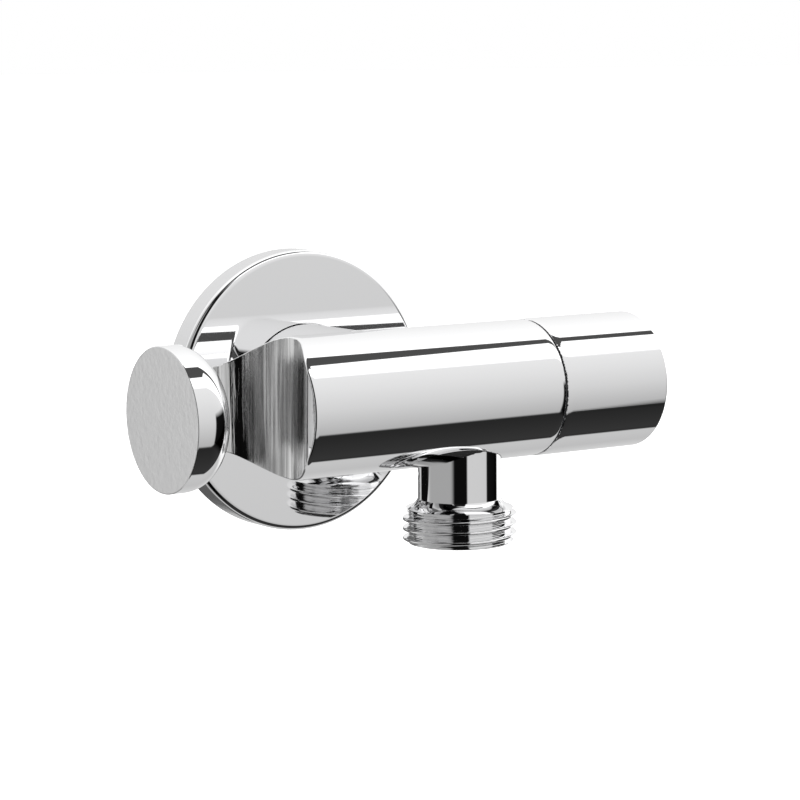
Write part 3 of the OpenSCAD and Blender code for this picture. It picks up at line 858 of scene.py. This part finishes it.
def make_outlet():
    """Outlet with its neck, rounded shoulder, thread and the seat of the check valve."""
    tip, top = outlet_low[2], outlet_high[2]
    groove_top = THREAD_TOP + 0.7
    bore_r = (check_high[0] - check_low[0]) / 2 + 0.05
    bore_low, bore_high = check_low[2] - 0.1, check_high[2] + 0.05
    arc = bulge((SHOULDER_R, groove_top + 0.1), (NECK_R, THREAD_TOP + 2.5), SHOULDER_ARC)
    shoulder = [(r, z, 0) for r, z in arc[:-1]] + [(*arc[-1], 0.25)]
    bore = [(r, z, 0.1) for r, z in ((NECK_R, top), (WAY_R, top), (WAY_R, bore_high), (bore_r, bore_high),
                                     (bore_r, bore_low), (MOUTH_R, bore_low))]
    mouth = [(MOUTH_R, tip, 0.15), (TIP_R, tip, 0.08)]
    outline, normals = round_corners(mouth + threaded_side(groove_top, tip) + shoulder + bore)
    shape = thread_shape(tip + 1.3, tip + 0.02, groove_top + 0.05, groove_top, THREAD_TURN)
    outlet = turned("outlet_nipple_finished", outline, normals, down_axis, SEGMENTS, shape)
    finish_piece(outlet, "valve", "polished_chrome", "outlet_nipple")


FLANGE_RIM = -6.0                   # front edge of the flange's rim
FLANGE_WALL = 1.6
FLANGE_BORE = 12.5
COLLAR_R = 14.9
COLLAR_END = -1.5


def make_flange():
    """Hollow domed cover plate with a collar round the neck and a brushed rim."""
    dome = flange_low[1] - FLANGE_RIM

    def face_y(r):
        return FLANGE_RIM + dome * (1 - (r / FLANGE_R) ** 2)

    inner = FLANGE_R - FLANGE_WALL
    face = [(r, face_y(r), 0) for r in np.linspace(FLANGE_BORE + 0.6, inner, 40)]
    corners = [(FLANGE_BORE, face_y(FLANGE_BORE), 0.2)] + face + \
        [(FLANGE_R, FLANGE_RIM, 1.2), (FLANGE_R, 0, 0.2), (inner, 0, 0.15),
         (inner, FLANGE_RIM + FLANGE_WALL, 0.8), (COLLAR_R, FLANGE_RIM + 1.2, 0.5),
         (COLLAR_R, COLLAR_END, 0.2), (FLANGE_BORE, COLLAR_END, 0.2)]
    outline, normals = round_corners(corners)
    flange = turned("wall_flange_finished", outline, normals, wall_axis, SEGMENTS)
    middle = read_array(flange.data.polygons, "center", 3) / MM
    reach = np.hypot(middle[:, 0], middle[:, 2])
    on_rim = (reach > FLANGE_R - 0.02) & (middle[:, 1] > FLANGE_RIM + 0.3)
    set_faces(flange, [MATERIALS["polished_chrome"], brushed_chrome()], np.where(on_rim, 1, 0))
    finish_piece(flange, "valve", "polished_chrome", "wall_flange")


INLET_WAY_R = 6
INLET_SEAT_R = 8.35
INLET_COLLAR_R, INLET_COLLAR_Y = 12, -2.5
STRAINER_R, STRAINER_Y = 7.55, 10.6


def make_inlet():
    """Brass inlet nipple with its collar inside the flange and the strainer's seat at the tip."""
    low, high = low_high("inlet_nipple")
    start, tip = 0.0, high[1]
    inside = [(INLET_WAY_R, low[1], 0.2), (INLET_SEAT_R, low[1], 0.3),
              (INLET_SEAT_R, INLET_COLLAR_Y, 0.1), (INLET_COLLAR_R, INLET_COLLAR_Y, 0.2),
              (INLET_COLLAR_R, start, 0.2)]
    mouth = [(TIP_R, tip, 0.08), (STRAINER_R, tip, 0.1), (STRAINER_R, STRAINER_Y, 0.1),
             (INLET_WAY_R, STRAINER_Y, 0.1)]
    outline, normals = round_corners(inside + threaded_side(start, tip)[::-1] + mouth)
    shape = thread_shape(0.9, start + 0.01, tip - 0.02, start, 0.0)
    inlet = turned("inlet_nipple_finished", outline, normals, wall_axis, 192, shape)
    finish_piece(inlet, "valve", "turned_brass", "inlet_nipple")


SPRING_WIRE = 0.25                  # radius
SPRING_TURNS = 6


def make_spring():
    """Return spring of the check valve, which shortens as the poppet drops; the coil here keeps one
    length.
    """
    low, high = low_high("check_valve_spring")
    rings, sides = SPRING_TURNS * 48, 12
    turn = np.linspace(0, 2 * math.pi * SPRING_TURNS, rings + 1)[:, None]
    side = np.arange(sides)[None, :] * 2 * math.pi / sides
    out = (high[0] - low[0]) / 2 - SPRING_WIRE + SPRING_WIRE * np.cos(side)
    rise = (high[2] - low[2] - 2 * SPRING_WIRE) * turn / turn[-1]
    height = low[2] + SPRING_WIRE + rise + SPRING_WIRE * np.sin(side)
    points = down_axis(out, turn, height).reshape(-1, 3)
    i, j = np.meshgrid(np.arange(rings), np.arange(sides), indexing="ij")
    j2 = (j + 1) % sides
    walls = np.stack([i * sides + j, (i + 1) * sides + j, (i + 1) * sides + j2, i * sides + j2], -1)
    ends = [list(range(sides)), [len(points) - 1 - k for k in range(sides)]]
    spring = make_object("check_valve_spring_coil", points, walls.reshape(-1, 4).tolist() + ends)
    finish_piece(spring, "valve", "stainless_steel", "check_valve_spring")
    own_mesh(spring)


add_camera()
add_floor()
add_studio()
dress_cad_nodes()
make_cradle()
make_body()
make_handle()
make_outlet()
make_flange()
make_inlet()
make_spring()
